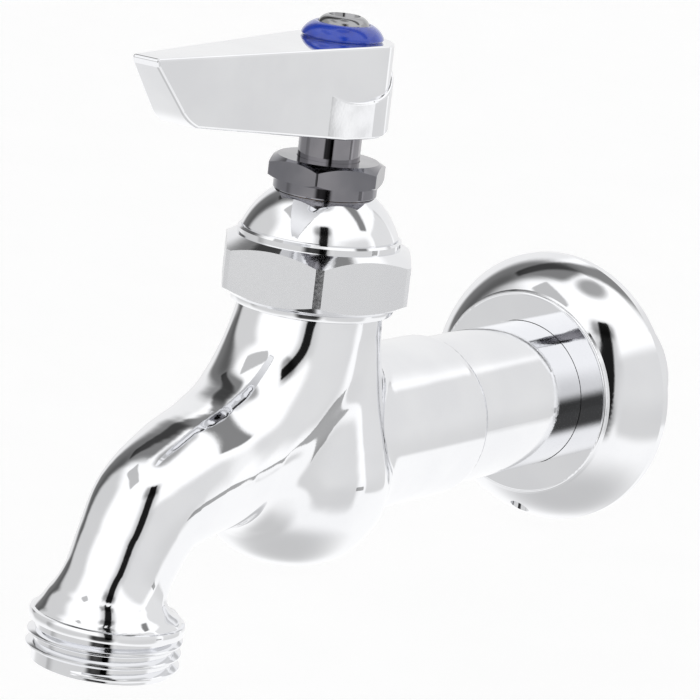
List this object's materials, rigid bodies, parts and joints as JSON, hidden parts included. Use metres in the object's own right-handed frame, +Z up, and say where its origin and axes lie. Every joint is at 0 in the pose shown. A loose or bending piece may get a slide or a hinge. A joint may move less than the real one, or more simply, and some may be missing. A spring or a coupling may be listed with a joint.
{
  "type": "hose bib",
  "caption": "Wall-mounted chrome hose bib with a lever handle, domed hexagonal bonnet, curved spout with garden hose thread, straight inlet shank and bell-shaped wall flange.",
  "frame": {"origin": "centre of the inlet's mouth, on the inlet axis", "axes": "+Y along the inlet axis towards the supply pipe, +Z up along the stem axis, spout and lever towards -Y"},
  "size_m": [0.054, 0.1693, 0.1123],
  "materials": {
    "chrome_casting": "polished chrome over a brass casting",
    "chrome_turned": "polished chrome over turned brass",
    "chrome_pressed": "polished chrome over pressed brass",
    "chrome_handle": "polished chrome over a die casting",
    "chrome_screw": "polished",
    "dark_chrome": "machined brass with a thin, darker plating",
    "brass": "machined, unplated",
    "spring_steel": "plain",
    "black_rubber": "matte",
    "foam_gasket": "closed-cell foam, matte",
    "fibre_gasket": "pressed fibre",
    "graphite_packing": "braided graphite",
    "blue_plastic": "glossy moulded"
  },
  "bodies": {
    "valve_body": {"body": "chrome_casting", "valve_seat": "brass", "cartridge_body": "brass", "cartridge_gasket": "fibre_gasket", "stem_packing": "graphite_packing", "packing_follower": "brass", "packing_nut": "dark_chrome", "bonnet_cap": "chrome_turned", "inlet_shank": "chrome_turned", "shank_o_ring": "black_rubber"},
    "washer_disc": {"washer_holder": "brass", "seat_washer": "black_rubber", "seat_washer_screw": "brass"},
    "spindle": {"stem": "dark_chrome", "stem_o_ring": "black_rubber", "swivel_clip": "spring_steel", "lever_handle": "chrome_handle", "handle_lock_washer": "spring_steel", "handle_screw": "chrome_screw", "index_ring": "blue_plastic"},
    "flange": {"wall_flange": "chrome_pressed", "flange_set_screw": "spring_steel", "flange_gasket": "foam_gasket"}
  },
  "joints": [
    {"name": "stem_rise", "type": "slide", "parent": "valve_body", "child": "washer_disc", "axis": [0, 0, 1], "range_m": [0, 0.003]},
    {"name": "handle_turn", "type": "hinge", "parent": "washer_disc", "child": "spindle", "pos_m": [0, -0.1067, 0.0567], "axis": [0, 0, 1], "range_deg": [0, 180]},
    {"name": "flange_slide", "type": "slide", "parent": "valve_body", "child": "flange", "axis": [0, -1, 0], "range_m": [0, 0.032]}
  ],
  "couplings": [
    {"joint": "stem_rise", "follows": "handle_turn", "m_per_rad": 0.0009549}
  ]
}
